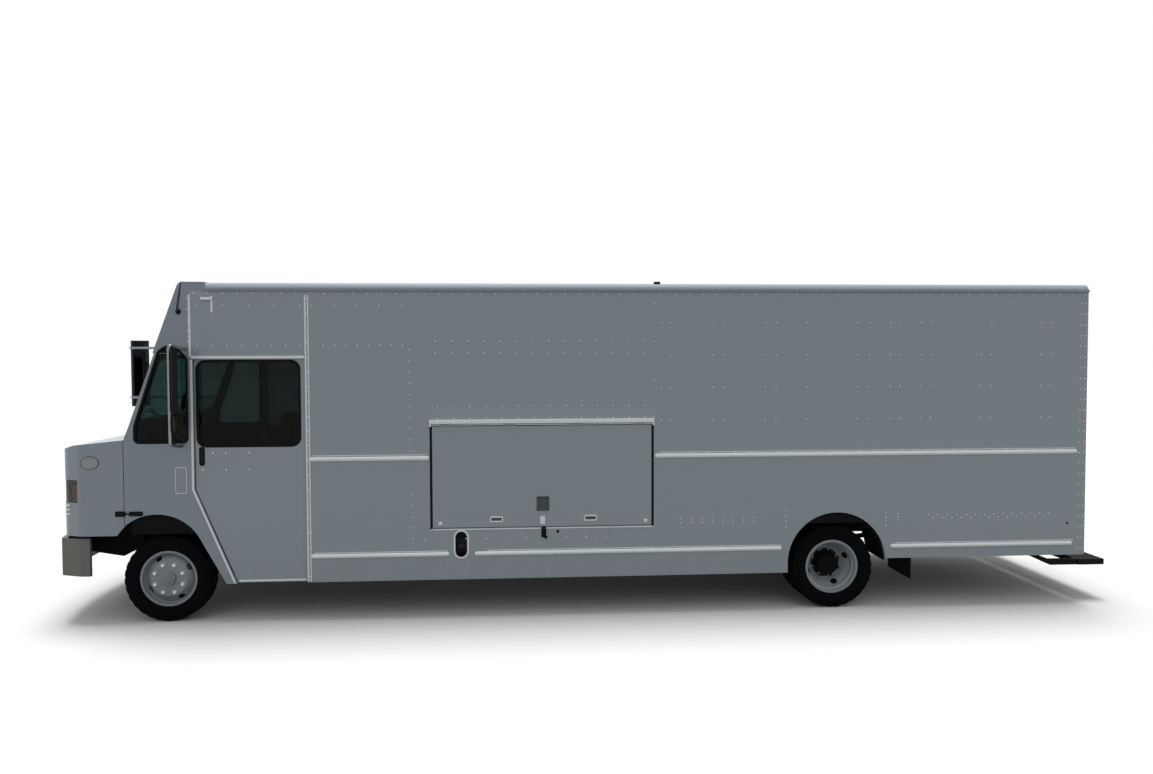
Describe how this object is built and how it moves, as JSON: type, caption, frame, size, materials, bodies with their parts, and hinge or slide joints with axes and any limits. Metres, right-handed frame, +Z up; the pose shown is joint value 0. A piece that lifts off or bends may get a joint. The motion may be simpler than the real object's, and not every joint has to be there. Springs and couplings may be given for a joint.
{
  "type": "walk-in step van for a food truck",
  "caption": "Long white walk-in step van used as a food truck, with a short tilting nose, sliding cab doors, top-hinged side hatches, rear swing doors and dual rear wheels.",
  "frame": {"origin": "middle of the vehicle's length and width, on the ground", "axes": "+X rearward, -Y the driver's side, +Z up"},
  "size_m": [10.5844, 3.042, 3.2177],
  "materials": {
    "paint_white": "gloss",
    "cap_white": "gloss",
    "bumper_grey": "satin",
    "floor_metal": "satin",
    "inner_grey": "satin",
    "frame_black": "satin",
    "axle_black": "satin",
    "engine_grey": "matte",
    "tank_metal": "satin",
    "exhaust_steel": "satin",
    "glass_tint": "clear",
    "lamp_clear": "gloss",
    "lamp_red": "gloss",
    "grille_black": "satin",
    "mirror_chrome": "polished",
    "mirror_black": "satin",
    "wheel_grey": "satin",
    "tyre_black": "matte",
    "rubber_black": "matte",
    "dash_black": "matte",
    "seat_vinyl": "satin"
  },
  "bodies": {
    "body": {"side_wall_left": "paint_white", "side_wall_right": "paint_white", "roof": "paint_white", "front_cap": "cap_white", "cab_side_left": "paint_white", "cab_side_right": "paint_white", "cowl": "paint_white", "rear_frame": "paint_white", "rub_rails": "paint_white", "hatch_rails": "paint_white", "fuel_filler": "rubber_black", "cab_glass": "glass_tint", "floor": "floor_metal", "bulkhead": "inner_grey", "front_bumper": "bumper_grey", "mirror_arms": "mirror_chrome", "mirror_heads": "mirror_black", "chassis_frame": "frame_black", "leaf_springs": "frame_black", "front_axle": "axle_black", "rear_axle": "axle_black", "driveline": "axle_black", "engine": "engine_grey", "fuel_tank": "tank_metal", "exhaust": "exhaust_steel", "rear_step": "frame_black", "mud_flaps": "rubber_black", "rear_lamps": "lamp_red", "dashboard": "dash_black", "steering_wheel": "dash_black", "driver_seat": "seat_vinyl"},
    "nose": {"hood": "paint_white", "grille": "grille_black", "headlamps": "lamp_clear"},
    "steer_left": {"knuckle_left": "axle_black"},
    "steer_right": {"knuckle_right": "axle_black"},
    "front_wheel_left": {"front_wheel_left": "wheel_grey", "front_tyre_left": "tyre_black"},
    "front_wheel_right": {"front_wheel_right": "wheel_grey", "front_tyre_right": "tyre_black"},
    "rear_wheels_left": {"rear_wheels_left": "wheel_grey", "rear_tyres_left": "tyre_black"},
    "rear_wheels_right": {"rear_wheels_right": "wheel_grey", "rear_tyres_right": "tyre_black"},
    "cab_door_left": {"cab_door_left": "paint_white", "cab_door_glass_left": "glass_tint"},
    "cab_door_right": {"cab_door_right": "paint_white", "cab_door_glass_right": "glass_tint"},
    "side_hatch": {"side_hatch": "paint_white"},
    "serving_hatch": {"serving_hatch": "paint_white"},
    "rear_door_left": {"rear_door_left": "paint_white"},
    "rear_door_right": {"rear_door_right": "paint_white"}
  },
  "joints": [
    {"name": "nose_tilt", "type": "hinge", "parent": "body", "child": "nose", "pos_m": [-4.99378, 0, 0.822], "axis": [0, -1, 0], "range_deg": [0, 55]},
    {"name": "steer_left", "type": "hinge", "parent": "body", "child": "steer_left", "pos_m": [-3.96378, -0.905, 0.405], "axis": [0, 0, 1], "range_deg": [-35, 35]},
    {"name": "front_roll_left", "type": "hinge", "parent": "steer_left", "child": "front_wheel_left", "pos_m": [-3.96378, -1.045, 0.405], "axis": [0, 1, 0], "continuous": true},
    {"name": "rear_roll_left", "type": "hinge", "parent": "body", "child": "rear_wheels_left", "pos_m": [2.42922, -0.945, 0.405], "axis": [0, 1, 0], "continuous": true},
    {"name": "cab_door_left_slide", "type": "slide", "parent": "body", "child": "cab_door_left", "axis": [1, 0, 0], "range_m": [0, 0.95]},
    {"name": "rear_door_left_hinge", "type": "hinge", "parent": "body", "child": "rear_door_left", "pos_m": [5.01321, -0.866, 1.84], "axis": [0, 0, -1], "range_deg": [0, 180]},
    {"name": "steer_right", "type": "hinge", "parent": "body", "child": "steer_right", "pos_m": [-3.96378, 0.905, 0.405], "axis": [0, 0, 1], "range_deg": [-35, 35]},
    {"name": "front_roll_right", "type": "hinge", "parent": "steer_right", "child": "front_wheel_right", "pos_m": [-3.96378, 1.045, 0.405], "axis": [0, 1, 0], "continuous": true},
    {"name": "rear_roll_right", "type": "hinge", "parent": "body", "child": "rear_wheels_right", "pos_m": [2.42922, 0.945, 0.405], "axis": [0, 1, 0], "continuous": true},
    {"name": "cab_door_right_slide", "type": "slide", "parent": "body", "child": "cab_door_right", "axis": [1, 0, 0], "range_m": [0, 0.95]},
    {"name": "rear_door_right_hinge", "type": "hinge", "parent": "body", "child": "rear_door_right", "pos_m": [5.01321, 0.866, 1.84], "axis": [0, 0, 1], "range_deg": [0, 180]},
    {"name": "side_hatch_hinge", "type": "hinge", "parent": "body", "child": "side_hatch", "pos_m": [-0.43078, -1.229, 1.844], "axis": [1, 0, 0], "range_deg": [-90, 0]},
    {"name": "serving_hatch_hinge", "type": "hinge", "parent": "body", "child": "serving_hatch", "pos_m": [-0.06378, 1.229, 2.766], "axis": [1, 0, 0], "range_deg": [0, 90]}
  ],
  "couplings": [
    {"joint": "steer_right", "follows": "steer_left", "ratio": 1}
  ]
}
